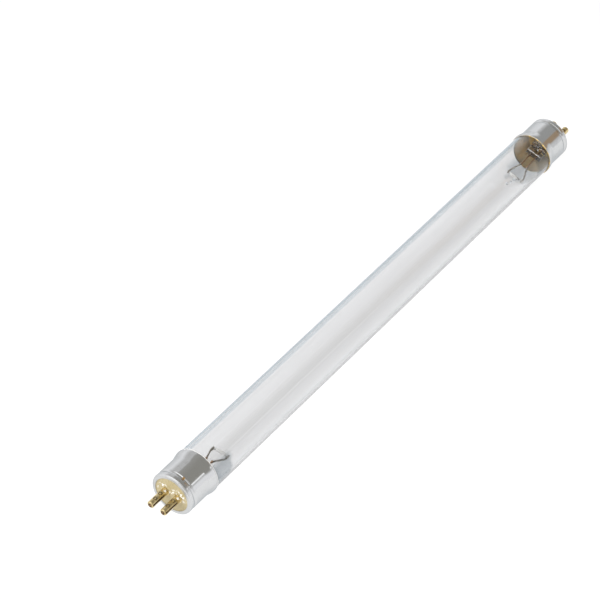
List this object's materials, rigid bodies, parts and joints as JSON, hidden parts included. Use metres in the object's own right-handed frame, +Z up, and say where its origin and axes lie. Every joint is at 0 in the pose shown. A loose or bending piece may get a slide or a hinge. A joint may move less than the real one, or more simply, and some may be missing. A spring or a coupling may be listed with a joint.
{
  "type": "germicidal uv lamp",
  "caption": "Slim clear-glass tubular discharge lamp with a bright metal cap and brass pins at each end, for ultraviolet disinfection.",
  "frame": {"origin": "middle of the lamp, on the tube's axis", "axes": "+X along the tube towards the right end, Y across the two pins of an end, +Z up"},
  "size_m": [0.2262, 0.0158, 0.0158],
  "materials": {
    "tube_glass": "clear, polished",
    "stem_glass": "clear, fire-polished",
    "cap": "bright, spun",
    "cement": "matt, baked cement",
    "insulator": "satin laminate",
    "pin": "plain, with dark crimp marks",
    "copper_wire": "drawn wire",
    "seal_wire": "copper-clad wire, darkened",
    "inner_wire": "dull nickel wire",
    "filament": "white oxide coat",
    "mercury": "liquid metal"
  },
  "bodies": {
    "root": {"glass_tube": "tube_glass", "exhaust_tube": "stem_glass", "left_end_cap": "cap", "left_cement": "cement", "left_insulator": "insulator", "left_stem": "stem_glass", "left_filament": "filament", "left_front_pin": "pin", "left_front_outer_lead": "copper_wire", "left_front_seal_wire": "seal_wire", "left_front_inner_lead": "inner_wire", "left_rear_pin": "pin", "left_rear_outer_lead": "copper_wire", "left_rear_seal_wire": "seal_wire", "left_rear_inner_lead": "inner_wire", "right_end_cap": "cap", "right_cement": "cement", "right_insulator": "insulator", "right_stem": "stem_glass", "right_filament": "filament", "right_front_pin": "pin", "right_front_outer_lead": "copper_wire", "right_front_seal_wire": "seal_wire", "right_front_inner_lead": "inner_wire", "right_rear_pin": "pin", "right_rear_outer_lead": "copper_wire", "right_rear_seal_wire": "seal_wire", "right_rear_inner_lead": "inner_wire", "mercury_drop_1": "mercury", "mercury_drop_2": "mercury", "mercury_drop_3": "mercury"}
  },
  "joints": []
}
